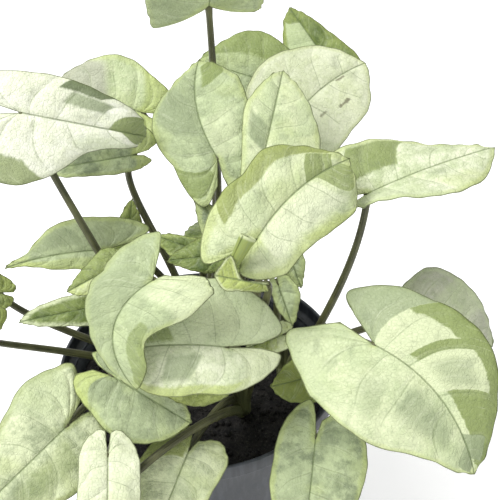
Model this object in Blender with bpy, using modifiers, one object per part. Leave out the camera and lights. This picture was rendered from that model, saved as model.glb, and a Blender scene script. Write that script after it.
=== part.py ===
"""Arrowhead plant with variegated blades, in its nursery pot. Lengths in the tables are millimetres."""
import bpy
import bmesh
import numpy as np
from math import cos, sin, hypot, atan2, radians, pi
from mathutils import Matrix, Vector

MM = 0.001

# Pot: outer radii and heights
POT_BASE_R = 52.0
POT_NECK_R = 71.0
POT_NECK_Z = 123.0
RIM_R = 77.5
RIM_LOW_Z = 126.0
RIM_TOP_Z = 135.0
WALL = 1.6
FLOOR = 2.0
DRAIN_HOLES = 8
DRAIN_R = 3.5
DRAIN_AT = 38.0

# Soil
GAP = 0.3
SOIL_TOP = 118.0
SOIL_RELIEF = 1.2

# Stems and leaf stalks
STEM_R = 5.0
STEM_LOW_Z = 99.0
STEM_TOP_Z = 129.0
STALK_R_LOW = 2.3
STALK_R_TOP = 1.7
STALK_SIDES_LEVEL = 1
STALK_STEPS = 7

# Blades
BLADE = 0.8
STALK_CLEAR = 0.4
PLAIN = (.17, .32, .42, .44, .40, .20)

# Crown of each plantlet on the soil, x and y
CROWNS = {"back": (2, 35), "mid": (15, 23), "front": (23, -23), "right": (47, -2), "left": (-23, 9)}


def blade(base, tip, roll, stalk, left=PLAIN, right=PLAIN, arch=30, droop=0, fold=10, foldtip=None,
          curl=-25, lobe=8, bow=0.0, sinus=(.6, .22), small=False):
    """One leaf. A side is half widths at 3/4, 1/2, 1/4 and 0 of the midrib, then the lobe's reach back and out.
    stalk is the plantlet, the rise and stretch of its two handles, and how far each handle is swayed."""
    return dict(base=base, tip=tip, roll=roll, stalk=stalk, left=left, right=right, arch=arch, droop=droop,
                fold=fold, foldtip=fold if foldtip is None else foldtip, curl=curl, lobe=lobe, bow=bow,
                sinus=sinus, small=small)


LEAVES = {
    "leaf_01": blade((15, 79, 310), (22, 77, 364), -115, ("back", 70, 10, (12, 45), (1, 8, -45)), (.25, .42, .55, .60, .38, .48),
                     (.30, .45, .55, .56, .16, .50), arch=20, fold=4, curl=-30, lobe=15, sinus=(.5, .42)),
    "leaf_02": blade((46, 133, 232), (5, 148, 240), 55, ("back", 60, 40), (.20, .30, .35, .36, .30, .22),
                     (.36, .56, .62, .55, .45, .21), arch=10),
    "leaf_03": blade((87, 140, 230), (61, 180, 256), 35, ("mid", 60, 40), (.24, .37, .40, .36, .30, .12),
                     (.12, .20, .27, .31, .34, .12)),
    "leaf_04": blade((12, 94, 150), (18, 137, 130), 0, ("back", 40, 30), small=True),
    "leaf_05": blade((16, 30, 250), (8, 79, 279), 5, ("back", 70, 50), (.22, .40, .44, .40, .41, .18),
                     (.40, .46, .44, .34, .30, .08), bow=.10),
    "leaf_06": blade((54, 77, 236), (99, 102, 260), -45, ("mid", 60, 40), (.36, .50, .58, .58, .26, .25),
                     (.42, .50, .54, .48, .24, .29), arch=10, bow=.08),
    "leaf_07": blade((39, 26, 250), (52, 75, 273), -15, ("mid", 70, 50), (.19, .27, .25, .20, .35, .08),
                     (.25, .41, .49, .45, .33, .20)),
    "leaf_08": blade((34, -53, 262), (78, -20, 280), -40, ("front", 60, 50, (0, 0), (10, 14, 0)), (.28, .42, .40, .44, .44, .13),
                     (.40, .42, .38, .36, .28, .12), arch=20, bow=.08),
    "leaf_09": blade((37, -70, 249), (14, -70, 256), 60, ("front", 70, 24, (0, 0), (12, 8, -14)), (.24, .22, .18, .14, .06, .10),
                     (.42, .05, .03, .05, .05, .04), fold=0, curl=-10, arch=10),
    "leaf_10": blade((87, -20, 260), (151, 5, 266), -5, ("right", 52, 35, (17, 10), (-9, -8, 0)), (.16, .28, .38, .40, .31, .28),
                     (.26, .32, .28, .18, .16, .08), fold=26, foldtip=-10, curl=-10, arch=15),
    "leaf_11": blade((85, -79, 218), (126, -123, 178), -35, ("right", 70, 15), (.28, .42, .47, .46, .40, .07),
                     (.26, .50, .56, .52, .44, .38), arch=35, bow=.12),
    "leaf_12": blade((110, -31, 190), (150, -41, 177), -50, ("right", 40, 40), (.38, .56, .64, .62, .24, .20),
                     (.35, .45, .45, .35, .20, .17)),
    "leaf_13": blade((59, -72, 150), (51, -102, 104), 10, ("right", 40, 25), (.34, .44, .48, .45, .25, .18),
                     (.26, .36, .36, .33, .33, .08)),
    "leaf_14": blade((71, -41, 165), (38, -40, 154), 45, ("right", 30, 25), (.29, .36, .38, .34, .25, .21),
                     (.22, .34, .35, .33, .27, .17), small=True),
    "leaf_15": blade((18, -70, 212), (-36, -68, 210), 45, ("front", 50, 40), (.36, .44, .42, .40, .48, .10),
                     (.31, .45, .55, .58, .50, .13), bow=-.04, sinus=(.62, .16)),
    "leaf_16": blade((-14, -60, 246), (-24, -86, 203), 0, ("left", 70, 50, (0, 0), (0, 4, 4)), (.28, .32, .58, .56, .12, .42),
                     (.18, .24, .38, .48, .46, .10), arch=50, bow=-.25),
    "leaf_17": blade((17, 6, 218), (5, 22, 232), 25, ("mid", 60, 30), (.2, .3, .35, .35, .3, .2),
                     (.1, .2, .3, .3, .3, .15), small=True),
    "leaf_18": blade((8, 4, 208), (-18, 14, 214), 45, ("back", 60, 30), (.2, .3, .35, .35, .3, .2),
                     (.12, .18, .22, .25, .3, .1), small=True),
    "leaf_19": blade((21, -4, 214), (-12, -1, 209), 50, ("front", 60, 30), (.14, .22, .25, .3, .35, .2),
                     (.17, .28, .34, .36, .35, .2), small=True),
    "leaf_20": blade((-45, 14, 206), (-99, 12, 198), 55, ("left", 50, 40), (.05, .14, .17, .21, .24, .12),
                     (.08, .25, .32, .32, .46, .12), bow=-.04),
    "leaf_21": blade((-36, 33, 191), (-33, 54, 209), -15, ("back", 40, 30), (.15, .25, .3, .3, .3, .15),
                     (.15, .25, .3, .3, .3, .15), small=True),
    "leaf_22": blade((-77, 17, 290), (-20, 39, 259), -65, ("left", 65, 20, (3, -9), (28, -36, -47)), (.16, .23, .28, .27, .38, .14),
                     (.10, .17, .38, .48, .43, .28), droop=55, arch=10),
    "leaf_23": blade((-27, 36, 250), (-78, 40, 240), 60, ("back", 70, 50, (0, 0), (-12, -25, 0)), (.10, .13, .16, .15, .16, .08),
                     (.18, .30, .34, .34, .25, .10)),
    "leaf_24": blade((-27, 93, 240), (-74, 107, 253), 55, ("back", 60, 20, (25, 20), (15, -15, -15)), (.2, .36, .46, .47, .33, .12),
                     (.34, .50, .52, .42, .32, .20), arch=10),
    "leaf_25": blade((-100, -5, 196), (-138, -7, 207), 50, ("left", 27, 10, (-20, 0), (16, -4, -21)), (.20, .30, .30, .24, .22, .09),
                     (.20, .30, .30, .24, .22, .09), sinus=(.9, .3)),
    "leaf_26": blade((-104, -31, 187), (-141, -49, 181), 50, ("left", 22, 10, (-20, -4), (11, 17, -20)), (.17, .28, .32, .28, .12, .12)),
    "leaf_27": blade((-48, -12, 190), (-90, -15, 184), 50, ("left", 40, 30), (.1, .15, .2, .22, .2, .12),
                     (.14, .18, .2, .22, .25, .12), small=True),
    "leaf_28": blade((-39, -8, 212), (-63, -14, 202), 50, ("left", 50, 8, (0, 0), (4, 0, -15)), (.2, .3, .35, .35, .3, .2),
                     (.15, .25, .35, .4, .3, .2), small=True),
    "leaf_29": blade((-61, -78, 172), (-107, -110, 145), 40, ("left", 40, 30), (.30, .36, .42, .38, .26, .08),
                     (.24, .32, .40, .47, .38, .30)),
    "leaf_30": blade((-39, -61, 188), (-2, -72, 164), -40, ("left", 40, 30), (.20, .25, .28, .28, .3, .1),
                     (.38, .52, .52, .44, .34, .20)),
    "leaf_31": blade((-41, -92, 166), (-43, -125, 131), 10, ("left", 45, 30), (.28, .32, .32, .30, .25, .10),
                     (.28, .30, .29, .28, .26, .10), sinus=(.92, .25)),
    "leaf_33": blade((-4, -73, 146), (-28, -110, 109), 25, ("front", 38, 20), (.29, .30, .32, .36, .17, .20),
                     (.28, .37, .37, .29, .2, .09)),
    "leaf_34": blade((11, -66, 188), (-16, -67, 185), 45, ("front", 40, 20), (.3, .4, .45, .4, .3, .2),
                     small=True),
    "leaf_35": blade((49, 23, 200), (57, 9, 178), -25, ("right", 40, 20), (.15, .25, .25, .2, .2, .1),
                     (.15, .22, .25, .2, .2, .1), small=True),
    "leaf_37": blade((-62, -112, 124), (-72, -129, 81), 0, ("front", 55, 0, (-1, -40), (28, 24, 32))),
    "leaf_36": blade((44, 1, 190), (51, -13, 171), -20, ("right", 35, 15), (.2, .35, .38, .3, .15, .1),
                     (.12, .2, .2, .18, .15, .1), small=True),
    "leaf_38": blade((46, -57, 207), (26, -61, 202), 45, ("front", 40, 20), (.2, .3, .35, .32, .2, .1),
                     (.2, .3, .35, .32, .2, .1), small=True),
}

# Young leaf still rolled up: foot, mouth, radii, depth of the mouth
ROLLED_FOOT = (22, -62, 253)
ROLLED_MOUTH = (30, -63, 271)
ROLLED_R = (1.6, 4.0)
ROLLED_DEPTH = 7.0
ROLLED_STALK = ("front", 50, 14, (0, 0), (0, 30, 6))


def new_collection(name, hidden=False):
    col = bpy.data.collections.new(name)
    bpy.context.scene.collection.children.link(col)
    col.hide_render = hidden
    return col


def material(name, colour, roughness):
    mat = bpy.data.materials.new(name)
    mat.use_nodes = True
    shader = mat.node_tree.nodes["Principled BSDF"]
    shader.inputs["Base Color"].default_value = (*colour, 1)
    shader.inputs["Roughness"].default_value = roughness
    shader.inputs["Metallic"].default_value = 0
    mat.diffuse_color = (*colour, 1)
    return mat


def mesh_object(name, bm, col, mat=None):
    mesh = bpy.data.meshes.new(name)
    bm.to_mesh(mesh)
    bm.free()
    obj = bpy.data.objects.new(name, mesh)
    col.objects.link(obj)
    if mat:
        mesh.materials.append(mat)
    else:
        obj.hide_render = True
        obj.display_type = "WIRE"
    return obj


def apply_modifiers(obj):
    bpy.context.view_layer.update()
    mesh = bpy.data.meshes.new_from_object(obj.evaluated_get(bpy.context.evaluated_depsgraph_get()))
    obj.modifiers.clear()
    old = obj.data
    obj.data = mesh
    mesh.name = obj.name
    bpy.data.meshes.remove(old)


def boolean(obj, operation, operand):
    mod = obj.modifiers.new(operation, "BOOLEAN")
    mod.operation = operation
    mod.solver = "EXACT"
    if isinstance(operand, bpy.types.Collection):
        mod.operand_type = "COLLECTION"
        mod.collection = operand
    else:
        mod.object = operand
    apply_modifiers(obj)


def turned(name, profile, steps, col, mat):
    """Solid of revolution about Z from a profile of (radius, height) running down the outer side."""
    bm = bmesh.new()
    verts = [bm.verts.new((r * MM, 0, z * MM)) for r, z in profile]
    for a, b in zip(verts, verts[1:]):
        bm.edges.new((a, b))
    obj = mesh_object(name, bm, col, mat)
    mod = obj.modifiers.new("screw", "SCREW")
    mod.axis = "Z"
    mod.angle = 2 * pi
    mod.steps = steps
    mod.render_steps = steps
    mod.use_merge_vertices = True
    mod.merge_threshold = 0.00001
    apply_modifiers(obj)
    return obj


def cylinder(name, radius, low, high, at, sides, col, top_radius=None, mat=None):
    bm = bmesh.new()
    top = radius if top_radius is None else top_radius
    bmesh.ops.create_cone(bm, cap_ends=True, segments=sides, radius1=radius * MM, radius2=top * MM,
                          depth=(high - low) * MM)
    bmesh.ops.translate(bm, verts=bm.verts, vec=(at[0] * MM, at[1] * MM, (low + high) / 2 * MM))
    return mesh_object(name, bm, col, mat)


def smooth(t, a, b):
    s = np.clip((t - a) / (b - a), 0, 1)
    return s * s * (3 - 2 * s)


def side_outline(side, sinus):
    w3, w2, w1, w0, back, out = side
    return np.array([(1.0, 0.0), (.92, .45 * w3), (.75, w3), (.5, w2), (.25, w1), (0, w0),
                     (-.66 * back, out + .6 * (w0 - out)), (-back, out), (-sinus[0] * back, sinus[1] * out)])


def spline(points, t):
    k = min(int(t), len(points) - 2)
    s = t - k
    p1, p2 = points[k], points[k + 1]
    p0 = points[k - 1] if k else 2 * p1 - p2
    p3 = points[k + 2] if k + 2 < len(points) else 2 * p2 - p1
    return .5 * (2 * p1 + (p2 - p0) * s + (2 * p0 - 5 * p1 + 4 * p2 - p3) * s * s
                 + (3 * p1 - p0 - 3 * p2 + p3) * s ** 3)


def frame(leaf):
    """Base point, midrib length, and the directions along, across and out of the blade at its base."""
    base, tip = np.array(leaf["base"], float), np.array(leaf["tip"], float)
    t = (np.arange(60) + .5) / 60
    bend = -radians(leaf["arch"]) * t - radians(leaf["droop"]) * smooth(t, .62, .9)
    rib_x = np.append(0, np.cumsum(np.cos(bend)) / 60)
    rib_z = np.append(0, np.cumsum(np.sin(bend)) / 60)
    chord, pitch = hypot(rib_x[-1], rib_z[-1]), atan2(rib_z[-1], rib_x[-1])
    length = np.linalg.norm(tip - base) / chord
    d = (tip - base) / np.linalg.norm(tip - base)
    up = np.array([0, 0, 1.0]) - d[2] * d
    up /= np.linalg.norm(up)
    roll = radians(leaf["roll"])
    out = cos(roll) * up + sin(roll) * np.cross(up, d)
    across = np.cross(out, d)
    along = cos(pitch) * d - sin(pitch) * out
    return base, length, along, across, sin(pitch) * d + cos(pitch) * out, rib_x, rib_z


def on_blade(leaf, x, y, q, is_left):
    """Places flat leaf coordinates (fractions of the midrib) on the folded, curled and arched blade."""
    base, length, along, across, out, rib_x, rib_z = frame(leaf)
    t = min(max(x, 0), 1)
    fold = leaf["fold"] * (1 - t) + leaf["foldtip"] * t
    cy, cz = 0, 0
    for i in range(24):
        turn = radians(fold + leaf["curl"] * q * (i + .5) / 24)
        cy += abs(y) / 24 * cos(turn)
        cz += abs(y) / 24 * sin(turn)
    cy = cy * (1 if y > 0 else -1) + leaf["bow"] * 4 * t * (1 - t)
    if x >= 0:
        lx, lz = np.interp(t, np.linspace(0, 1, 61), rib_x), np.interp(t, np.linspace(0, 1, 61), rib_z)
        pitch = -radians(leaf["arch"]) * t - radians(leaf["droop"]) * smooth(t, .62, .9)
    else:
        pitch = radians(leaf["lobe"]) * min(-x / .4, 1.5)
        lx, lz = x * np.sinc(pitch / 2 / pi) * cos(pitch / 2), x * np.sinc(pitch / 2 / pi) * sin(pitch / 2)
    return base + length * ((lx - cz * sin(pitch)) * along + cy * across + (lz + cz * cos(pitch)) * out)


SPINE = [1.0, .93, .80, .56, .31, .12, 0, 0, 0]


def make_blade(name, leaf, col, mat):
    rows, cols = (8, 2) if leaf["small"] else (12, 3)
    bm = bmesh.new()
    bmesh.ops.create_grid(bm, x_segments=2 * cols, y_segments=rows, size=1)
    for vert in bm.verts:
        a, q = (1 - vert.co.y) / 2, -vert.co.x
        ox, oy = spline(side_outline(leaf["left"] if q > 0 else leaf["right"], leaf["sinus"]), a * 8)
        sx = np.interp(a * 8, range(9), SPINE)
        x, y = sx + (ox - sx) * abs(q), oy * q
        vert.co = Vector(on_blade(leaf, x, y, abs(q), q > 0)) * MM
    bmesh.ops.remove_doubles(bm, verts=bm.verts, dist=0.00005)
    bmesh.ops.triangulate(bm, faces=bm.faces)
    bmesh.ops.recalc_face_normals(bm, faces=bm.faces)
    obj = mesh_object(name, bm, col, mat)
    mod = obj.modifiers.new("solid", "SOLIDIFY")
    mod.thickness = BLADE * MM
    mod.offset = 0
    apply_modifiers(obj)
    return obj


def stalk_curve(name, col, end, away, crown, rise, stretch, low=(0, 0), high=(0, 0, 0)):
    """Leaf stalk from the crown up to just under the blade, thinner at its top. The more it leans along
    the blade, the lower it ends, so that the rim of its top stays clear."""
    come = away * stretch - np.array(high)
    slant = np.sqrt(max(0, 1 - (come @ away / np.linalg.norm(come)) ** 2))
    end = end - away * STALK_R_TOP * slant
    start = np.array([*CROWNS[crown], STEM_TOP_Z - 8.0])
    lean = np.array([end[0] - start[0], end[1] - start[1], 0])
    lean *= 2.2 / max(np.linalg.norm(lean), 1)
    start = start + lean
    first = start + lean * rise * .08 + np.array([low[0], low[1], rise])
    last = end - come
    curve = bpy.data.curves.new(name, "CURVE")
    curve.dimensions = "3D"
    curve.bevel_depth = MM
    curve.bevel_resolution = STALK_SIDES_LEVEL
    curve.use_fill_caps = True
    curve.resolution_u = STALK_STEPS
    path = curve.splines.new("BEZIER")
    path.bezier_points.add(1)
    for point, co, handle, radius in zip(path.bezier_points, (start, end), (first, last),
                                         (STALK_R_LOW, STALK_R_TOP)):
        point.co = Vector(co) * MM
        point.handle_left_type = point.handle_right_type = "FREE"
        point.handle_left = point.handle_right = Vector(handle) * MM
        point.radius = radius
    path.bezier_points[0].handle_left = Vector(2 * start - first) * MM
    path.bezier_points[1].handle_right = Vector(2 * end - last) * MM
    obj = bpy.data.objects.new(name, curve)
    col.objects.link(obj)
    bpy.context.view_layer.update()
    mesh = bpy.data.meshes.new_from_object(obj.evaluated_get(bpy.context.evaluated_depsgraph_get()))
    bpy.data.objects.remove(obj)
    bm = bmesh.new()
    bm.from_mesh(mesh)
    bmesh.ops.remove_doubles(bm, verts=bm.verts, dist=0.00001)
    bmesh.ops.recalc_face_normals(bm, faces=bm.faces)
    return mesh_object(name, bm, col)


for old in list(bpy.data.objects):
    bpy.data.objects.remove(old)

plant = new_collection("arrowhead_plant")
cutters = new_collection("cutters", hidden=True)

POT_MAT = material("pot_plastic", (.055, .062, .072), .42)
SOIL_MAT = material("potting_soil", (.022, .020, .018), .95)
STALK_MAT = material("leaf_stalks", (.10, .11, .045), .5)
LEAF_MAT = material("leaf_blades", (.55, .64, .38), .45)

# Pot: rolled rim band, tapered wall, flat floor with drain holes
taper = (POT_NECK_R - POT_BASE_R) / POT_NECK_Z
pot = turned("pot", [
    (0, FLOOR), (POT_BASE_R + taper * FLOOR - WALL, FLOOR), (POT_NECK_R - WALL, POT_NECK_Z),
    (RIM_R - 1.8, RIM_LOW_Z + 2), (RIM_R - 1.7, RIM_TOP_Z - .5), (RIM_R - 1.0, RIM_TOP_Z),
    (RIM_R - .3, RIM_TOP_Z - .4), (RIM_R, RIM_TOP_Z - 1.2), (RIM_R, RIM_LOW_Z + .8),
    (RIM_R - .6, RIM_LOW_Z), (POT_NECK_R, POT_NECK_Z), (POT_BASE_R, 1.2), (POT_BASE_R - 1.2, 0), (0, 0)],
    48, plant, POT_MAT)
for i in range(DRAIN_HOLES):
    a = 2 * pi * (i + .5) / DRAIN_HOLES
    at = (DRAIN_AT * cos(a), DRAIN_AT * sin(a))
    cylinder(f"drain_{i}", DRAIN_R, -2, FLOOR + 2, at, 12, cutters)
boolean(pot, "DIFFERENCE", cutters)
for obj in list(cutters.objects):
    bpy.data.objects.remove(obj)

# Soil: fills the pot, with an uneven top and a plain hole for each stem
inner_low = POT_BASE_R + taper * (FLOOR + GAP) - WALL - GAP
inner_top = POT_BASE_R + taper * SOIL_TOP - WALL - GAP
rings = [(inner_top * k / 6, SOIL_TOP) for k in range(7)]
soil = turned("soil", rings + [(inner_low, FLOOR + GAP), (0, FLOOR + GAP)], 48, plant, SOIL_MAT)
for vert in soil.data.vertices:
    x, y, z = vert.co / MM
    if z > SOIL_TOP - 1 and hypot(x, y) < inner_top - 1:
        vert.co.z += MM * SOIL_RELIEF * (sin(x * .11 + 1) * cos(y * .13) + .5 * sin(x * .31 + y * .23))
for crown, at in CROWNS.items():
    cylinder(f"hole_{crown}", STEM_R + GAP, STEM_LOW_Z - GAP, SOIL_TOP + 12, at, 10, cutters)
boolean(soil, "DIFFERENCE", cutters)
for obj in list(cutters.objects):
    bpy.data.objects.remove(obj)

# Blades, each a thin folded and curled sheet
for name, leaf in LEAVES.items():
    make_blade(name, leaf, plant, LEAF_MAT)

# Rolled young leaf: a tapered tube open at its mouth
foot, mouth = Vector(ROLLED_FOOT), Vector(ROLLED_MOUTH)
axis = (mouth - foot).normalized()
turn = Matrix.Translation(foot * MM) @ axis.to_track_quat("Z", "Y").to_matrix().to_4x4()
long = (mouth - foot).length
rolled = turned("leaf_32_rolled", [
    (0, long - ROLLED_DEPTH), (ROLLED_R[1] - 1.6, long - ROLLED_DEPTH), (ROLLED_R[1] - .9, long),
    (ROLLED_R[1], long), (ROLLED_R[1] * .82, long * .6), (ROLLED_R[0] * 1.4, long * .2), (ROLLED_R[0], 0), (0, 0)],
    12, plant, LEAF_MAT)
rolled.data.transform(turn)

# Plantlets: a short stem and its leaf stalks, grown from it as one piece
for crown, at in CROWNS.items():
    stalks = new_collection("stalks_" + crown)
    for name, leaf in LEAVES.items():
        if leaf["stalk"][0] == crown:
            base, length, along, across, out, rib_x, rib_z = frame(leaf)
            end = base - out * (BLADE / 2 + STALK_CLEAR)
            stalk_curve("stalk_" + name, stalks, end, out, *leaf["stalk"])
    if ROLLED_STALK[0] == crown:
        end = np.array(foot - axis * STALK_CLEAR)
        stalk_curve("stalk_rolled", stalks, end, np.array(axis), *ROLLED_STALK)
    stem = cylinder("plantlet_" + crown, STEM_R, STEM_LOW_Z, STEM_TOP_Z, at, 10, plant, STEM_R * .8, STALK_MAT)
    boolean(stem, "UNION", stalks)
    for obj in list(stalks.objects):
        bpy.data.objects.remove(obj)
    bpy.data.collections.remove(stalks)
bpy.data.collections.remove(cutters)

for obj in plant.objects:
    obj.data.shade_smooth()
    obj.data.set_sharp_from_angle(angle=radians(50))
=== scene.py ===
"""Looks of the arrowhead plant in its nursery pot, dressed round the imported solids.

Sizes and places are in millimetres and turned to metres by MM. Angles are in degrees."""
from math import atan2, cos, hypot, pi, radians, sin

import bmesh
import bpy
import numpy as np
from mathutils import Euler, Matrix, Vector, noise


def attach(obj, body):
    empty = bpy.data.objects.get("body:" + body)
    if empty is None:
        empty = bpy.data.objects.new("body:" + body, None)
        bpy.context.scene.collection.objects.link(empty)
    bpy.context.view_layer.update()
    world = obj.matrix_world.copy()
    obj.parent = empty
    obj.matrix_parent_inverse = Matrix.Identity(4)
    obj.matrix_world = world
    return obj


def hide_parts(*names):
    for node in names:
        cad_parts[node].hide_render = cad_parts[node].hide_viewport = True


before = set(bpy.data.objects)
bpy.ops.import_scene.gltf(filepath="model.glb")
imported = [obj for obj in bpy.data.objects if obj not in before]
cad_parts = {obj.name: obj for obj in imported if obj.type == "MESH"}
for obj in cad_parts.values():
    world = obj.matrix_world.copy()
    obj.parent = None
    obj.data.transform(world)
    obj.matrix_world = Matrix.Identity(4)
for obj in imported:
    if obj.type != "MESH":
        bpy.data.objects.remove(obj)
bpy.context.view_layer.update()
MM = .001

# ---------------------------------------------------------------- the pot
# A round nursery pot of thin black plastic, injection moulded in one piece: tapered wall, a wider
# rim band with rounded edges, and eight drain holes in the floor. Its gloss is low and a little worn.
POT_BASE_R, POT_NECK_R, POT_NECK_Z = 52.0, 71.0, 123.0
RIM_R, RIM_LOW_Z, RIM_TOP_Z = 77.5, 126.0, 135.0
WALL, FLOOR_THICK = 1.6, 2.0
DRAIN_HOLES, DRAIN_R, DRAIN_AT = 8, 3.5, 38.0
FOOT_ROUND, LIP_ROUND, BAND_ROUND, FLOOR_ROUND = 1.6, 1.0, .9, 2.0
FOOT_RING_R, RECESS_R, RECESS = 46.0, 44.5, .8
POT_STEPS, DRAIN_SIDES = 144, 24
POT_TAPER = (POT_NECK_R - POT_BASE_R) / POT_NECK_Z
POT_BLACK, POT_PALE_AND_SHINE = (.020, .024, .030, 1), (.075, .085, .098, 1)


class Shade:
    """A number or colour that changes over a surface. Sums written with it become Math nodes."""

    def __init__(self, paint, socket):
        self.paint, self.socket = paint, socket

    def sum(self, operation, *values):
        return self.paint.node("ShaderNodeMath", {"operation": operation}, dict(enumerate(values)))

    def __add__(self, other):
        return self.sum("ADD", self, other)

    def __sub__(self, other):
        return self.sum("SUBTRACT", self, other)

    def __rsub__(self, other):
        return self.sum("SUBTRACT", other, self)

    def __mul__(self, other):
        return self.sum("MULTIPLY", self, other)

    def __truediv__(self, other):
        return self.sum("DIVIDE", self, other)

    def __abs__(self):
        return self.sum("ABSOLUTE", self)

    __radd__, __rmul__ = __add__, __mul__


class Paint:
    """One finish as it is mixed: a material and the nodes in it."""

    def __init__(self, name, specular=.5, sheen=0.0):
        self.material = bpy.data.materials.new(name)
        self.material.use_nodes = True
        self.tree = self.material.node_tree
        self.shader = self.tree.nodes["Principled BSDF"]
        self.shader.inputs["Specular IOR Level"].default_value = specular
        self.shader.inputs["Sheen Weight"].default_value = sheen

    def node(self, kind, settings, sockets, out=0):
        made = self.tree.nodes.new(kind)
        for key, value in settings.items():
            setattr(made, key, value)
        for key, value in sockets.items():
            self.feed(made.inputs[key], value)
        return Shade(self, made.outputs[out])

    def feed(self, socket, value):
        if isinstance(value, Shade):
            self.tree.links.new(value.socket, socket)
        else:
            socket.default_value = value

    def place(self):
        """Object coordinates in millimetres."""
        at = self.node("ShaderNodeTexCoord", {}, {}, "Object")
        return self.node("ShaderNodeVectorMath", {"operation": "SCALE"}, {0: at, "Scale": 1 / MM})

    def read(self, layer):
        """The three numbers of one of the piece's own layers."""
        at = self.node("ShaderNodeAttribute", {"attribute_name": layer}, {}, "Vector")
        return [self.node("ShaderNodeSeparateXYZ", {}, {0: at}, axis) for axis in "XYZ"]

    def join(self, x, y, z):
        return self.node("ShaderNodeCombineXYZ", {}, {0: x, 1: y, 2: z})

    def noise(self, at, size, detail=3, rough=.55):
        """Cloudy noise around .5 whose features are about that many millimetres across."""
        return self.node("ShaderNodeTexNoise", {}, {"Vector": at, "Scale": 1 / size, "Detail": detail,
                                                    "Roughness": rough})

    def cells(self, at, size, feature="F1"):
        """Distance from the centres of cells about that many millimetres across, or from their borders."""
        return self.node("ShaderNodeTexVoronoi", {"feature": feature}, {"Vector": at, "Scale": 1 / size},
                         "Distance")

    def step(self, value, low, high):
        """0 at low, 1 at high, smooth between them."""
        return self.node("ShaderNodeMapRange", {"interpolation_type": "SMOOTHSTEP"},
                         {"Value": value, "From Min": low, "From Max": high})

    def mix(self, share, under, over):
        return self.node("ShaderNodeMix", {"data_type": "RGBA"}, {0: share, 6: under, 7: over}, 2)

    def done(self, colour, roughness, height, depth):
        """Colour, roughness, and a height in millimetres that the bump follows."""
        self.feed(self.shader.inputs["Base Color"], colour)
        self.feed(self.shader.inputs["Roughness"], roughness)
        bump = self.node("ShaderNodeBump", {}, {"Strength": depth, "Distance": MM, "Height": height})
        self.feed(self.shader.inputs["Normal"], bump)
        return self.material


def piece(name, bm, finish, node):
    """Makes the finished piece, hides the solid it stands for, and sets where it rides."""
    mesh = bpy.data.meshes.new(name)
    bm.to_mesh(mesh)
    bm.free()
    mesh.shade_smooth()
    mesh.materials.append(finish)
    obj = bpy.data.objects.new(name, mesh)
    bpy.context.scene.collection.objects.link(obj)
    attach(obj, "root")
    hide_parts(node)
    return mesh


def turned(profile, steps):
    """Solid of revolution from a closed run of (radius, height), both in millimetres."""
    bm = bmesh.new()
    verts = [bm.verts.new((r * MM, 0, z * MM)) for r, z in profile]
    edges = [bm.edges.new(pair) for pair in zip(verts, verts[1:])]
    bmesh.ops.spin(bm, geom=verts + edges, cent=(0, 0, 0), axis=(0, 0, 1), angle=2 * pi, steps=steps,
                   use_merge=True)
    bmesh.ops.remove_doubles(bm, verts=bm.verts, dist=.01 * MM)
    bmesh.ops.recalc_face_normals(bm, faces=bm.faces)
    return bm


def arc(cx, cz, r, start, end, steps=5):
    """Points on a quarter round, from start to end degrees."""
    return [(cx + r * cos(radians(start + (end - start) * k / steps)),
             cz + r * sin(radians(start + (end - start) * k / steps))) for k in range(steps + 1)]


def wall(z):
    """Outer radius of the tapered wall at a height."""
    return POT_BASE_R + POT_TAPER * z


def pot_profile():
    """Half section of the pot, from the middle of its floor up the inside, over the rim and down again."""
    inside = [(0, FLOOR_THICK)] + [(r, FLOOR_THICK) for r in (30, 42)]
    inside += arc(wall(FLOOR_THICK) - WALL - FLOOR_ROUND, FLOOR_THICK + FLOOR_ROUND, FLOOR_ROUND, -90, -5)
    inside += [(wall(z) - WALL, z) for z in (20, 45, 70, 95, 112, POT_NECK_Z - 1)]
    inside += [(RIM_R - 4.2, RIM_LOW_Z + .2), (RIM_R - 2.4, RIM_LOW_Z + 1), (RIM_R - 1.8, RIM_LOW_Z + 2.2)]
    lip = arc(RIM_R - LIP_ROUND, RIM_TOP_Z - LIP_ROUND, LIP_ROUND, 180, 0, 8)
    band = [(RIM_R, RIM_LOW_Z + 5)] + arc(RIM_R - BAND_ROUND, RIM_LOW_Z + BAND_ROUND, BAND_ROUND, 0, -80)
    outside = [(POT_NECK_R + .8, RIM_LOW_Z - .6)]
    outside += [(wall(z), z) for z in (POT_NECK_Z, 110, 90, 68, 45, 22, 5)]
    foot = arc(POT_BASE_R - FOOT_ROUND, FOOT_ROUND, FOOT_ROUND, -2, -90)
    foot += [(FOOT_RING_R, 0), (RECESS_R, RECESS), (30, RECESS), (0, RECESS)]
    return inside + lip + band + outside + foot


def drilled(bm, holes):
    """Takes round upright holes out of a mesh with a Boolean, since no operator cuts one shape from
    another. A hole is its x, y and radius, and the heights it runs from and to."""
    mesh, cut = bpy.data.meshes.new("blank"), bpy.data.meshes.new("drill")
    bm.to_mesh(mesh)
    bm.free()
    tool = bmesh.new()
    for x, y, r, low, high in holes:
        middle = Matrix.Translation(Vector((x, y, (low + high) / 2)) * MM)
        bmesh.ops.create_cone(tool, cap_ends=True, segments=DRAIN_SIDES, radius1=r * MM, radius2=r * MM,
                              depth=(high - low) * MM, matrix=middle)
    tool.to_mesh(cut)
    tool.free()
    blank, drill = bpy.data.objects.new("blank", mesh), bpy.data.objects.new("drill", cut)
    for obj in (blank, drill):
        bpy.context.scene.collection.objects.link(obj)
    mod = blank.modifiers.new("drain", "BOOLEAN")
    mod.object, mod.solver = drill, "EXACT"
    bpy.context.view_layer.update()
    out = bmesh.new()
    out.from_object(blank, bpy.context.evaluated_depsgraph_get())
    for obj in (blank, drill):
        bpy.data.objects.remove(obj)
    return out


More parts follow.
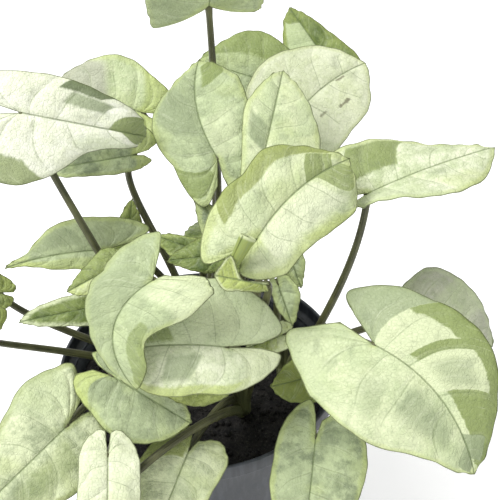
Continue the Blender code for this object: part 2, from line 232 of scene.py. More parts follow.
def pot_finish():
    """Black plastic with faint moulding streaks, a little dust, and a painted highlight on the rim's top."""
    paint = Paint("pot_plastic", specular=.5)
    at = paint.place()
    x, y, z = [paint.node("ShaderNodeSeparateXYZ", {}, {0: at}, axis) for axis in "XYZ"]
    cloud = paint.noise(at, 35)
    fine = paint.noise(at, 1.2, 2)
    dust = paint.step(paint.noise(at, 9, 6, .65), .50, .72)
    # Painted highlight: the top 2.2 mm of the rim is made paler in patches, for the light along the lip.
    lip_highlight = paint.step(z, RIM_TOP_Z - 2.2, RIM_TOP_Z) * paint.step(cloud, .35, .6)
    streak = paint.noise(paint.join(x / 3, y / 3, z / 40), 1.0, 3)
    tone = paint.mix(paint.step(streak, .42, .68) * .35 + dust * .25 + lip_highlight * .35, POT_BLACK, POT_PALE_AND_SHINE)
    return paint.done(tone, .34 + fine * .14 + dust * .18, fine * .05 + cloud * .8, .35)


drains = [2 * pi * (k + .5) / DRAIN_HOLES for k in range(DRAIN_HOLES)]
pot_mesh = drilled(turned(pot_profile(), POT_STEPS),
                   [(DRAIN_AT * cos(a), DRAIN_AT * sin(a), DRAIN_R, -2, FLOOR_THICK + 2) for a in drains])
pot = piece("nursery_pot", pot_mesh, pot_finish(), "pot")
pot.set_sharp_from_angle(angle=radians(40))

# ---------------------------------------------------------------- the potting mix
# Dark peat and composted bark, filled by hand to a finger's width below the rim: an uneven, crumbly
# top with loose crumbs of bark, and the five stems standing in it.
GAP, SOIL_TOP, SOIL_RELIEF = .3, 118.0, 1.2
CROWNS = {"back": (2, 35), "mid": (15, 23), "front": (23, -23), "right": (47, -2), "left": (-23, 9)}
SOIL_RINGS, SOIL_STEPS = 44, 150
CRUMBS, CRUMB_SMALL, CRUMB_SPREAD = 900, .6, 1.5
PEAT, BARK, DRY_CRUMB = (.007, .0072, .0072, 1), (.022, .020, .018, 1), (.060, .056, .050, 1)


def ground_height(x, y):
    """Height of the potting mix at a place, with hollows, clods and fine crumb."""
    high = SOIL_RELIEF * (sin(x * .11 + 1) * cos(y * .13) + .5 * sin(x * .31 + y * .23))
    high += 1.1 * noise.fractal(Vector((x, y, 3)) / 9, 1.0, 2.0, 3)
    high += .9 * abs(noise.noise(Vector((x, y, 7)) / 2.6))
    return SOIL_TOP + high


def soil_mesh():
    """The filling of the pot, its top pushed into relief and strewn with loose crumbs."""
    top_r = wall(SOIL_TOP) - WALL - GAP
    rings = [(top_r * k / SOIL_RINGS, SOIL_TOP) for k in range(SOIL_RINGS + 1)]
    low_r = wall(FLOOR_THICK + GAP) - WALL - GAP
    bm = turned(rings + [(low_r, FLOOR_THICK + GAP), (0, FLOOR_THICK + GAP)], SOIL_STEPS)
    for vert in bm.verts:
        x, y, z = vert.co / MM
        if z > SOIL_TOP - .5 and hypot(x, y) < top_r - .2:
            vert.co.z = ground_height(x, y) * MM
    rng = np.random.default_rng(5)
    for k in range(CRUMBS):
        r, a = (top_r - 2) * np.sqrt(rng.random()), 2 * pi * rng.random()
        x, y, size = r * cos(a), r * sin(a), CRUMB_SMALL + CRUMB_SPREAD * rng.random() ** 3
        turn = Euler(rng.random(3) * 6).to_matrix().to_4x4()
        grow = Matrix.Diagonal((*(size * (.6 + .8 * rng.random(3)) * MM), 1))
        lay = Matrix.Translation(Vector((x, y, ground_height(x, y) + size * .3)) * MM)
        crumb = bmesh.ops.create_icosphere(bm, subdivisions=1, radius=1, matrix=lay @ turn @ grow)
        for vert in crumb["verts"]:
            vert.co += Vector(rng.normal(0, .12 * size * MM, 3))
    return bm


def soil_finish():
    """Near-black peat with brown bark and a few dry, paler shreds."""
    paint = Paint("potting_mix", specular=.25)
    at = paint.place()
    clod = paint.noise(at, 5, 6, .7)
    crumb = paint.cells(at, 1.6)
    shred = paint.step(paint.noise(at, 1.4, 3), .56, .66)
    tone = paint.mix(paint.step(clod, .35, .7), PEAT, BARK)
    tone = paint.mix(shred * .45, tone, DRY_CRUMB)
    return paint.done(tone, .88 - shred * .12, clod * 1.4 - crumb * .6, .8)


piece("potting_mix", soil_mesh(), soil_finish(), "soil")

# ---------------------------------------------------------------- the blades
# Thirty-seven arrow-shaped leaves, each a thin sheet with curved side veins, cushions between them and a
# grooved midrib that stands out below as a keel. Cream blades carry grey-green clouds, and green sectors
# that stop sharply at a vein. A fine olive line edges each one.
PLAIN = (.17, .32, .42, .44, .40, .20)


def blade(base, tip, roll, stalk, left=PLAIN, right=PLAIN, arch=30, droop=0, fold=10, foldtip=None,
          curl=-25, lobe=8, bow=0.0, sinus=(.6, .22)):
    """One leaf, from the foot to the tip of its midrib, rolled round it by an angle.
    A side is its half widths at 3/4, 1/2, 1/4 and 0 of the midrib, then its lobe's reach back and out.
    stalk is the plantlet, the rise and stretch of its two handles, and how far each handle is swayed."""
    return dict(base=base, tip=tip, roll=roll, stalk=stalk, left=left, right=right, arch=arch, droop=droop,
                fold=fold, foldtip=fold if foldtip is None else foldtip, curl=curl, lobe=lobe, bow=bow,
                sinus=sinus)


LEAVES = {
    "leaf_01": blade((15, 79, 310), (22, 77, 364), -115, ("back", 70, 10, (12, 45), (1, 8, -45)),
                     (.25, .42, .55, .60, .38, .48), (.30, .45, .55, .56, .16, .50), arch=20, fold=4,
                     curl=-30, lobe=15, sinus=(.5, .42)),
    "leaf_02": blade((46, 133, 232), (5, 148, 240), 55, ("back", 60, 40), (.20, .30, .35, .36, .30, .22),
                     (.36, .56, .62, .55, .45, .21), arch=10),
    "leaf_03": blade((87, 140, 230), (61, 180, 256), 35, ("mid", 60, 40), (.24, .37, .40, .36, .30, .12),
                     (.12, .20, .27, .31, .34, .12)),
    "leaf_04": blade((12, 94, 150), (18, 137, 130), 0, ("back", 40, 30)),
    "leaf_05": blade((16, 30, 250), (8, 79, 279), 5, ("back", 70, 50), (.22, .40, .44, .40, .41, .18),
                     (.40, .46, .44, .34, .30, .08), bow=.10),
    "leaf_06": blade((54, 77, 236), (99, 102, 260), -45, ("mid", 60, 40), (.36, .50, .58, .58, .26, .25),
                     (.42, .50, .54, .48, .24, .29), arch=10, bow=.08),
    "leaf_07": blade((39, 26, 250), (52, 75, 273), -15, ("mid", 70, 50), (.19, .27, .25, .20, .35, .08),
                     (.25, .41, .49, .45, .33, .20)),
    "leaf_08": blade((34, -53, 262), (78, -20, 280), -40, ("front", 60, 50, (0, 0), (10, 14, 0)),
                     (.28, .42, .40, .44, .44, .13), (.40, .42, .38, .36, .28, .12), arch=20, bow=.08),
    "leaf_09": blade((37, -70, 249), (14, -70, 256), 60, ("front", 70, 24, (0, 0), (12, 8, -14)),
                     (.24, .22, .18, .14, .06, .10), (.42, .05, .03, .05, .05, .04), fold=0, curl=-10,
                     arch=10),
    "leaf_10": blade((87, -20, 260), (151, 5, 266), -5, ("right", 52, 35, (17, 10), (-9, -8, 0)),
                     (.16, .28, .38, .40, .31, .28), (.26, .32, .28, .18, .16, .08), fold=26, foldtip=-10,
                     curl=-10, arch=15),
    "leaf_11": blade((85, -79, 218), (126, -123, 178), -35, ("right", 70, 15),
                     (.28, .42, .47, .46, .40, .07), (.26, .50, .56, .52, .44, .38), arch=35, bow=.12),
    "leaf_12": blade((110, -31, 190), (150, -41, 177), -50, ("right", 40, 40),
                     (.38, .56, .64, .62, .24, .20), (.35, .45, .45, .35, .20, .17)),
    "leaf_13": blade((59, -72, 150), (51, -102, 104), 10, ("right", 40, 25),
                     (.34, .44, .48, .45, .25, .18), (.26, .36, .36, .33, .33, .08)),
    "leaf_14": blade((71, -41, 165), (38, -40, 154), 45, ("right", 30, 25),
                     (.29, .36, .38, .34, .25, .21), (.22, .34, .35, .33, .27, .17)),
    "leaf_15": blade((18, -70, 212), (-36, -68, 210), 45, ("front", 50, 40),
                     (.36, .44, .42, .40, .48, .10), (.31, .45, .55, .58, .50, .13), bow=-.04,
                     sinus=(.62, .16)),
    "leaf_16": blade((-14, -60, 246), (-24, -86, 203), 0, ("left", 70, 50, (0, 0), (0, 4, 4)),
                     (.28, .32, .58, .56, .12, .42), (.18, .24, .38, .48, .46, .10), arch=50, bow=-.25),
    "leaf_17": blade((17, 6, 218), (5, 22, 232), 25, ("mid", 60, 30), (.2, .3, .35, .35, .3, .2),
                     (.1, .2, .3, .3, .3, .15)),
    "leaf_18": blade((8, 4, 208), (-18, 14, 214), 45, ("back", 60, 30), (.2, .3, .35, .35, .3, .2),
                     (.12, .18, .22, .25, .3, .1)),
    "leaf_19": blade((21, -4, 214), (-12, -1, 209), 50, ("front", 60, 30), (.14, .22, .25, .3, .35, .2),
                     (.17, .28, .34, .36, .35, .2)),
    "leaf_20": blade((-45, 14, 206), (-99, 12, 198), 55, ("left", 50, 40), (.05, .14, .17, .21, .24, .12),
                     (.08, .25, .32, .32, .46, .12), bow=-.04),
    "leaf_21": blade((-36, 33, 191), (-33, 54, 209), -15, ("back", 40, 30), (.15, .25, .3, .3, .3, .15),
                     (.15, .25, .3, .3, .3, .15)),
    "leaf_22": blade((-77, 17, 290), (-20, 39, 259), -65, ("left", 65, 20, (3, -9), (28, -36, -47)),
                     (.16, .23, .28, .27, .38, .14), (.10, .17, .38, .48, .43, .28), droop=55, arch=10),
    "leaf_23": blade((-27, 36, 250), (-78, 40, 240), 60, ("back", 70, 50, (0, 0), (-12, -25, 0)),
                     (.10, .13, .16, .15, .16, .08), (.18, .30, .34, .34, .25, .10)),
    "leaf_24": blade((-27, 93, 240), (-74, 107, 253), 55, ("back", 60, 20, (25, 20), (15, -15, -15)),
                     (.2, .36, .46, .47, .33, .12), (.34, .50, .52, .42, .32, .20), arch=10),
    "leaf_25": blade((-100, -5, 196), (-138, -7, 207), 50, ("left", 27, 10, (-20, 0), (16, -4, -21)),
                     (.20, .30, .30, .24, .22, .09), (.20, .30, .30, .24, .22, .09), sinus=(.9, .3)),
    "leaf_26": blade((-104, -31, 187), (-141, -49, 181), 50, ("left", 22, 10, (-20, -4), (11, 17, -20)),
                     (.17, .28, .32, .28, .12, .12)),
    "leaf_27": blade((-48, -12, 190), (-90, -15, 184), 50, ("left", 40, 30), (.1, .15, .2, .22, .2, .12),
                     (.14, .18, .2, .22, .25, .12)),
    "leaf_28": blade((-39, -8, 212), (-63, -14, 202), 50, ("left", 50, 8, (0, 0), (4, 0, -15)),
                     (.2, .3, .35, .35, .3, .2), (.15, .25, .35, .4, .3, .2)),
    "leaf_29": blade((-61, -78, 172), (-107, -110, 145), 40, ("left", 40, 30),
                     (.30, .36, .42, .38, .26, .08), (.24, .32, .40, .47, .38, .30)),
    "leaf_30": blade((-39, -61, 188), (-2, -72, 164), -40, ("left", 40, 30), (.20, .25, .28, .28, .3, .1),
                     (.38, .52, .52, .44, .34, .20)),
    "leaf_31": blade((-41, -92, 166), (-43, -125, 131), 10, ("left", 45, 30),
                     (.28, .32, .32, .30, .25, .10), (.28, .30, .29, .28, .26, .10), sinus=(.92, .25)),
    "leaf_33": blade((-4, -73, 146), (-28, -110, 109), 25, ("front", 38, 20),
                     (.29, .30, .32, .36, .17, .20), (.28, .37, .37, .29, .2, .09)),
    "leaf_34": blade((11, -66, 188), (-16, -67, 185), 45, ("front", 40, 20), (.3, .4, .45, .4, .3, .2)),
    "leaf_35": blade((49, 23, 200), (57, 9, 178), -25, ("right", 40, 20), (.15, .25, .25, .2, .2, .1),
                     (.15, .22, .25, .2, .2, .1)),
    "leaf_37": blade((-62, -112, 124), (-72, -129, 81), 0, ("front", 55, 0, (-1, -40), (28, 24, 32))),
    "leaf_36": blade((44, 1, 190), (51, -13, 171), -20, ("right", 35, 15), (.2, .35, .38, .3, .15, .1),
                     (.12, .2, .2, .18, .15, .1)),
    "leaf_38": blade((46, -57, 207), (26, -61, 202), 45, ("front", 40, 20), (.2, .3, .35, .32, .2, .1),
                     (.2, .3, .35, .32, .2, .1)),
}

BLADE_ROWS, BLADE_COLS, RIB_CROWDING = 72, 22, 1.12
RIB_STEPS, TURN_STEPS, OUTLINE_STEPS = 60, 24, 120
BLADE_THICK, EDGE_THICK, EDGE_TAPER = .8, .3, 2.5
GROOVE_DEEP, GROOVE_WIDE, KEEL_HIGH, KEEL_WIDE = .45, 1.1, 1.3, 1.2
CUSHION, VEIN_SPACE = .7, 1.1
WAVE, RIPPLE = .9, .6
SPINE = [1.0, .93, .80, .56, .31, .12, 0, 0, 0]
DROOP_FROM, DROOP_TO = .62, .9


def smooth(t, a, b):
    """0 at a, 1 at b, smooth between them."""
    s = np.clip((t - a) / (b - a), 0, 1)
    return s * s * (3 - 2 * s)


def side_outline(side, sinus):
    """Points round one side of a blade, from its tip past the lobe into the sinus."""
    w3, w2, w1, w0, back, out = side
    return np.array([(1.0, 0.0), (.92, .45 * w3), (.75, w3), (.5, w2), (.25, w1), (0, w0),
                     (-.66 * back, out + .6 * (w0 - out)), (-back, out),
                     (-sinus[0] * back, sinus[1] * out)])


def spline(points, t):
    """Smooth run through the outline's points, at each place t along it."""
    ends = np.vstack([2 * points[0] - points[1], points, 2 * points[-1] - points[-2]])
    k = np.clip(t.astype(int), 0, len(points) - 2)
    s = (t - k)[..., None]
    p0, p1, p2, p3 = (ends[k + i] for i in range(4))
    return .5 * (2 * p1 + (p2 - p0) * s + (2 * p0 - 5 * p1 + 4 * p2 - p3) * s * s
                 + (3 * p1 - p0 - 3 * p2 + p3) * s ** 3)


def rib_pitch(leaf, t):
    """Slope of the midrib at each place t along it, from its arch and its drooping tip."""
    return -radians(leaf["arch"]) * t - radians(leaf["droop"]) * smooth(t, DROOP_FROM, DROOP_TO)


def leaf_frame(leaf):
    """Base point, midrib length, and the directions along, across and out of the blade at its base."""
    base, tip = np.array(leaf["base"], float), np.array(leaf["tip"], float)
    bend = rib_pitch(leaf, (np.arange(RIB_STEPS) + .5) / RIB_STEPS)
    rib_x = np.append(0, np.cumsum(np.cos(bend)) / RIB_STEPS)
    rib_z = np.append(0, np.cumsum(np.sin(bend)) / RIB_STEPS)
    chord, pitch = hypot(rib_x[-1], rib_z[-1]), atan2(rib_z[-1], rib_x[-1])
    length = np.linalg.norm(tip - base) / chord
    d = (tip - base) / np.linalg.norm(tip - base)
    up = np.array([0, 0, 1.0]) - d[2] * d
    up /= np.linalg.norm(up)
    roll = radians(leaf["roll"])
    out = cos(roll) * up + sin(roll) * np.cross(up, d)
    across = np.cross(out, d)
    along = cos(pitch) * d - sin(pitch) * out
    return base, length, along, across, sin(pitch) * d + cos(pitch) * out, rib_x, rib_z


def on_blade(leaf, x, y, q):
    """Places flat leaf coordinates (fractions of the midrib) on the folded, curled and arched blade."""
    base, length, along, across, out, rib_x, rib_z = leaf_frame(leaf)
    t = np.clip(x, 0, 1)
    fold = leaf["fold"] * (1 - t) + leaf["foldtip"] * t
    part = (np.arange(TURN_STEPS) + .5) / TURN_STEPS
    turn = np.radians(fold[:, None] + leaf["curl"] * q[:, None] * part)
    cy = np.abs(y) * np.cos(turn).mean(1) * np.sign(y) + leaf["bow"] * 4 * t * (1 - t)
    cz = np.abs(y) * np.sin(turn).mean(1)
    front = x >= 0
    back_pitch = radians(leaf["lobe"]) * np.minimum(-x / .4, 1.5)
    pitch = np.where(front, rib_pitch(leaf, t), back_pitch)
    shrink = x * np.sinc(back_pitch / 2 / pi)
    steps = np.linspace(0, 1, RIB_STEPS + 1)
    lx = np.where(front, np.interp(t, steps, rib_x), shrink * np.cos(back_pitch / 2))
    lz = np.where(front, np.interp(t, steps, rib_z), shrink * np.sin(back_pitch / 2))
    return base + length * ((lx - cz * np.sin(pitch))[:, None] * along + cy[:, None] * across
                            + (lz + cz * np.cos(pitch))[:, None] * out)


def edge_distance(points, outline):
    """How far flat points are from a run of outline points."""
    a, step = outline[:-1], np.diff(outline, axis=0)
    rel = points[:, None, :] - a[None]
    t = np.clip((rel * step).sum(2) / (step ** 2).sum(1), 0, 1)
    return np.linalg.norm(rel - t[..., None] * step, axis=2).min(1)


def flat_places(leaf, g, q):
    """Flat coordinates of the blade's grid: g runs 0 to 8 from tip to sinus, q -1 to 1 from side to side."""
    outer = np.where((q > 0)[:, None], spline(side_outline(leaf["left"], leaf["sinus"]), g),
                     spline(side_outline(leaf["right"], leaf["sinus"]), g))
    rib = np.interp(g, range(9), SPINE)
    return rib + (outer[:, 0] - rib) * np.abs(q), outer[:, 1] * q


def vein_row(g, q, x, y, seed):
    """A number that stays the same along a side vein, which sweeps forward from the midrib to the edge."""
    wide = np.abs(q)
    row = g + .9 * wide + .5 * wide ** 4 + .35 * (q < 0)
    wander = .16 * np.sin(8 * x + 5 * y + seed * 2.1) + .10 * np.sin(17 * x - 9 * y + seed * 1.3)
    return row + wide * wander


def blade_mesh(leaf, seed):
    """A closed blade: an upper and a lower sheet that meet round the edge. Its layers are flat, the place
    on the flattened leaf and the distance to its edge in millimetres, and veins, its vein row, its place
    from side to side and 1 underneath."""
    bm = bmesh.new()
    bmesh.ops.create_grid(bm, x_segments=2 * BLADE_COLS, y_segments=BLADE_ROWS, size=1)
    bm.verts.ensure_lookup_table()
    co = np.array([v.co for v in bm.verts])
    g, q = (1 - co[:, 1]) * 4, -co[:, 0]
    q = np.sign(q) * np.abs(q) ** RIB_CROWDING
    x, y = flat_places(leaf, g, q)
    length = leaf_frame(leaf)[1]
    run = np.linspace(0, 8, OUTLINE_STEPS + 1)
    edge = np.full(len(x), np.inf)
    for side, sign in (("left", 1), ("right", -1)):
        rim = np.vstack([spline(side_outline(leaf[side], leaf["sinus"]), run), [0, 0]]) * [1, sign]
        own = q * sign >= 0
        edge[own] = np.minimum(edge[own], edge_distance(np.stack([x, y], 1)[own], rim))
    edge *= length
    places = on_blade(leaf, x, y, np.abs(q))
    row = vein_row(g, q, x, y, seed)
    inner = smooth(np.abs(q), .02, .22) * smooth(edge, 1.0, 5.0)
    lift = CUSHION * (np.abs(np.sin(pi * row / VEIN_SPACE)) ** .7 - .6) * inner
    lift -= GROOVE_DEEP * np.exp(-(y * length / GROOVE_WIDE) ** 2) * smooth(1 - x, .02, .3) * (x > -.02)
    lift += WAVE * np.abs(q) ** 3 * smooth(edge, -3, 3) * np.sin(g * 2.7 + np.sign(q) * 1.3 + seed * 1.7)
    lift += RIPPLE * np.abs(q) ** 7 * np.sin(g * 8.3 + np.sign(q) + seed * 2.9) * np.sin(g * 1.9 + seed)
    half = (EDGE_THICK + (BLADE_THICK - EDGE_THICK) * smooth(edge, 0, EDGE_TAPER)) / 2
    keel = KEEL_HIGH * np.exp(-(y * length / KEEL_WIDE) ** 2) * smooth(1 - x, 0, 1.1) * smooth(x, -.03, .02)
    flat, veins = bm.loops.layers.float_vector.new("flat"), bm.loops.layers.float_vector.new("veins")
    for k, vert in enumerate(bm.verts):
        vert.co = Vector(places[k]) * MM
        for loop in vert.link_loops:
            loop[flat] = (x[k] * length, y[k] * length, edge[k])
            loop[veins] = (row[k], q[k], 0)
    bm.normal_update()
    normals = [v.normal.copy() for v in bm.verts]
    made = bmesh.ops.duplicate(bm, geom=bm.verts[:] + bm.edges[:] + bm.faces[:])
    bm.verts.ensure_lookup_table()
    count = len(normals)
    for k in range(count):
        bm.verts[k].co += normals[k] * float(lift[k] + half[k]) * MM
        bm.verts[count + k].co += normals[k] * float(lift[k] - half[k] - keel[k]) * MM
    under = [f for f in made["geom"] if isinstance(f, bmesh.types.BMFace)]
    bmesh.ops.reverse_faces(bm, faces=under)
    for face in under:
        for loop in face.loops:
            loop[veins] = (*loop[veins][:2], 1)
    rim = bmesh.ops.bridge_loops(bm, edges=[e for e in bm.edges if e.is_boundary])["faces"]
    bmesh.ops.remove_doubles(bm, verts=bm.verts, dist=.02 * MM)
    rim = {f for f in rim if f.is_valid}
    for face in rim:
        for loop in face.loops:
            near = next((l for l in loop.vert.link_loops if l.face not in rim), None)
            if near:
                loop[flat], loop[veins] = near[flat], near[veins]
    return bm


CREAM, IVORY, LIME = (.64, .70, .44, 1), (.76, .80, .58, 1), (.46, .54, .17, 1)
MIST, CLOUD, SLATE = (.48, .56, .32, 1), (.28, .335, .19, 1), (.15, .19, .11, 1)
LILAC, GREEN, OLIVE = (.41, .42, .33, 1), (.22, .28, .085, 1), (.25, .30, .075, 1)
DEEP, WHITE = (.06, .10, .015, 1), (.86, .88, .74, 1)
EDGE_LINE, SCAR, VEIN_LINE = (.10, .12, .04, 1), (.10, .08, .04, 1), (.15, .20, .08, 1)
UNDERSIDE, UNDER_VEIN = (.36, .42, .26, 1), (.52, .57, .40, 1)


def look(ground=CREAM, cloud=MIST, clouding=.8, rim=(LIME, 3, .4), patches=(), vein=.4, warm=.25):
    """Colours of a blade. rim is a colour, its width in mm and its share. A patch is its side (1 left, -1
    right, 0 both), its vein rows from tip to sinus, its reach from midrib (0) to edge (1), a colour, its
    share and how soft its border is. It has no border where the reach starts at 0 or below, or ends at 1
    or above. vein is the share of the side veins' own colour, and warm of lime in sunnier places."""
    return dict(ground=ground, cloud=cloud, clouding=clouding, rim=rim, patches=patches, vein=vein,
                warm=warm)


LOOKS = {
    "leaf_01": look(MIST, CLOUD, patches=((1, 0, 9, .4, 1, CLOUD, .5, .15),)),
    "leaf_02": look(MIST, CLOUD, patches=(
        (-1, 0, 9, .45, 1, GREEN, .85, .05), (1, 0, 9, .5, 1, CLOUD, .6, .1))),
    "leaf_03": look(GREEN, DEEP, rim=(OLIVE, 2, .4), patches=((1, 2.2, 4.4, 0, .75, MIST, .8, .06),)),
    "leaf_04": look(GREEN, DEEP, rim=None),
    "leaf_05": look(MIST, CLOUD, .6, patches=(
        (1, 3.0, 4.6, .08, .85, CLOUD, .8, .12), (-1, 1.7, 3.0, .15, 1, GREEN, .85, .04),
        (1, 6.4, 7.6, .3, 1, GREEN, .8, .05), (-1, 4.2, 6.2, 0, .7, CREAM, .5, .15))),
    "leaf_06": look(IVORY, CREAM, rim=(LIME, 2, .35), warm=.15, patches=(
        (-1, 2.6, 3.0, .02, .08, SCAR, .7, .02), (-1, 3.5, 3.9, .47, .53, SCAR, .7, .02),
        (-1, 4.3, 4.6, .34, .39, SCAR, .6, .02), (1, 5.2, 6.4, .1, .8, MIST, .6, .12),
        (-1, 5.3, 6.6, .2, 1, MIST, .4, .15))),
    "leaf_07": look(CREAM, MIST, patches=(
        (1, 4.0, 5.2, .05, .75, CLOUD, .85, .1), (-1, 3.4, 5.0, .5, 1, MIST, .6, .1))),
    "leaf_08": look(CREAM, MIST, .55, (LIME, 4, .55), (
        (1, 1.9, 6.4, .66, 1.1, OLIVE, .8, .03), (1, 1.7, 2.9, -1, .62, GREEN, .8, .02),
        (-1, 1.5, 2.9, -1, .8, GREEN, .75, .02), (-1, 2.9, 3.6, .45, .95, CLOUD, .5, .03),
        (1, 4.6, 5.6, .1, .6, MIST, .5, .12), (-1, 3.7, 5.2, .76, 1.1, LIME, .5, .1),
        (-1, 3.1, 6.2, .04, .68, IVORY, .6, .12))),
    "leaf_09": look(LIME, OLIVE, rim=(CREAM, 1.2, .6), patches=(
        (1, 4.5, 9, 0, 1, OLIVE, .7, .2),), warm=.5),
    "leaf_10": look(IVORY, MIST, rim=(LIME, 2.5, .5), warm=.2, patches=(
        (1, 4.3, 6.3, .32, .92, GREEN, .85, .04), (-1, 3.0, 4.3, .45, 1.1, LIME, .35, .15),
        (1, 2.6, 3.6, .4, 1, MIST, .6, .1), (-1, 5.0, 7.5, .2, 1, MIST, .5, .12))),
    "leaf_11": look(CREAM, MIST, .8, (LIME, 2, .4), (
        (1, .9, 6.1, .14, 1.1, GREEN, .9, .02), (1, 4.72, 6.1, -1, .72, CREAM, .9, .02),
        (1, 3.38, 4.36, -1, .76, CREAM, .9, .02), (1, 3.5, 4.1, .2, .6, CLOUD, .55, .12),
        (0, 1.2, 2.2, -1, .62, CLOUD, .9, .02), (1, 6.1, 9.6, -1, 1.1, CLOUD, .8, .04),
        (-1, 2.9, 4.3, .12, .5, CLOUD, .75, .14), (-1, 4.8, 5.5, .3, .7, CLOUD, .5, .15),
        (-1, 6.4, 9.6, -1, 1.1, MIST, .5, .1)), warm=.12),
    "leaf_12": look(LILAC, CLOUD, .3, (MIST, 2.5, .4), ((1, 3, 5, .3, 1, MIST, .4, .2),), warm=.1),
    # Painted shadow: leaf_13 is greyed and clouded dark with SLATE for the shade that leaf_11 casts on its
    # top.
    "leaf_13": look(MIST, SLATE, .6, (LIME, 3, .5), ((-1, 2, 5, .1, .8, MIST, .6, .1),)),
    "leaf_14": look(OLIVE, GREEN, .6, (LIME, 1.5, .3)),
    "leaf_15": look(IVORY, MIST, .6, (LIME, 2, .3), (
        (-1, 0, 9.6, 0, 1.1, MIST, .75, .02), (1, 3.4, 4.6, .18, .68, CLOUD, .8, .08),
        (-1, 2.9, 3.9, .08, .7, GREEN, .75, .05), (1, 1.2, 6.6, .80, 1.1, LIME, .75, .05),
        (-1, 4.6, 6.6, .2, .8, CREAM, .45, .15), (1, 6.4, 9.6, .1, 1.1, CREAM, .6, .1)), warm=.15),
    "leaf_16": look(MIST, CLOUD, .35, (LIME, 3, .45), (
        (-1, 0, 9.6, -1, 1.1, CLOUD, .35, .02), (1, 1.6, 4.0, .45, 1.1, GREEN, .65, .04),
        (-1, 4.0, 6.4, .3, .9, CLOUD, .4, .15), (1, 4.9, 9.6, .1, 1.1, CREAM, .7, .15)), warm=.1),
    "leaf_17": look(CLOUD, SLATE),
    "leaf_18": look(GREEN, DEEP, rim=(LIME, 1.5, .4), warm=.1),
    # Painted shade: leaf_19 lies deep among the other leaves, and its green is clouded nearly black with
    # DEEP.
    "leaf_19": look(GREEN, DEEP, .9, rim=(OLIVE, 1, .4), warm=0),
    "leaf_20": look(MIST, CLOUD, .3, (LIME, 2.5, .5), (
        (1, 0, 9.6, .3, 1.1, LIME, .45, .1), (-1, 3, 5, .2, .8, CLOUD, .7, .1))),
    "leaf_21": look(OLIVE, GREEN),
    "leaf_22": look(WHITE, IVORY, .6, (CREAM, 2, .3), (
        (-1, 5.8, 6.9, .62, 1.1, GREEN, .8, .04), (1, 3.3, 4.5, .40, .72, CLOUD, .85, .05),
        (1, 3.8, 5.0, .74, 1.0, DEEP, .85, .04), (0, -1, 2.9, 0, 1.1, GREEN, .9, .03),
        (-1, 3.2, 4.4, .3, 1, MIST, .4, .15)), warm=.05),
    "leaf_23": look(MIST, SLATE, .8, (LIME, 2, .4), (
        (0, 6.2, 9.6, 0, 1.1, LIME, .55, .2), (-1, 2.6, 4.4, .2, 1, CLOUD, .7, .1))),
    "leaf_24": look(MIST, CREAM, .8, (LIME, 3, .4), (
        (0, -1, 4.1, 0, 1.1, LILAC, .85, .25), (0, 6.1, 9.6, 0, 1.1, LIME, .65, .3),
        (1, 4.4, 6.0, .2, .8, CREAM, .5, .2))),
    "leaf_25": look(OLIVE, GREEN),
    "leaf_26": look(OLIVE, GREEN),
    "leaf_27": look(GREEN, DEEP, rim=(CREAM, 2.2, .8)),
    "leaf_28": look(LIME, CREAM, .5, (LIME, 2, .5), ((-1, 0, 9, 0, 1, GREEN, .8, .05),)),
    "leaf_29": look(CREAM, CLOUD, .7, (OLIVE, 2.5, .6), (
        (1, 3, 5.2, .2, .7, GREEN, .5, .15), (-1, 5.6, 7.5, .3, 1, MIST, .5, .15))),
    "leaf_30": look(MIST, CLOUD, .8, (LIME, 2.5, .5), (
        (1, 4.2, 8.0, .1, 1.1, CLOUD, .85, .06), (-1, 5.0, 7.0, 0, .6, CLOUD, .6, .1),
        (-1, 7.0, 9.6, 0, 1.1, LIME, .7, .1))),
    "leaf_31": look(IVORY, CREAM, .6, (CREAM, 2, .3), warm=.08),
    "leaf_33": look(CREAM, CLOUD, .5, (LIME, 2, .4), ((-1, 5.6, 9.6, .1, 1.1, OLIVE, .85, .06),)),
    "leaf_34": look(LIME, OLIVE, .6, (OLIVE, 2, .5), warm=.5),
    "leaf_35": look(MIST, CLOUD),
    "leaf_36": look(MIST, CLOUD),
    "leaf_37": look(),
    "leaf_38": look(LIME, CREAM, .8, (CREAM, 2, .5)),
}
MOTTLE_MM, SHADOW_MM, NET_MM, SMALL_NET_MM, FLECK_MM = 6, 9, 6.0, 1.8, 1.1
MOTTLE, SHADOW, STREAKS, NET, SMALL_NET, FLECK, HALO = .34, .30, .20, .04, .06, .20, .12
RIB, EDGE, BELOW = .65, .75, .82


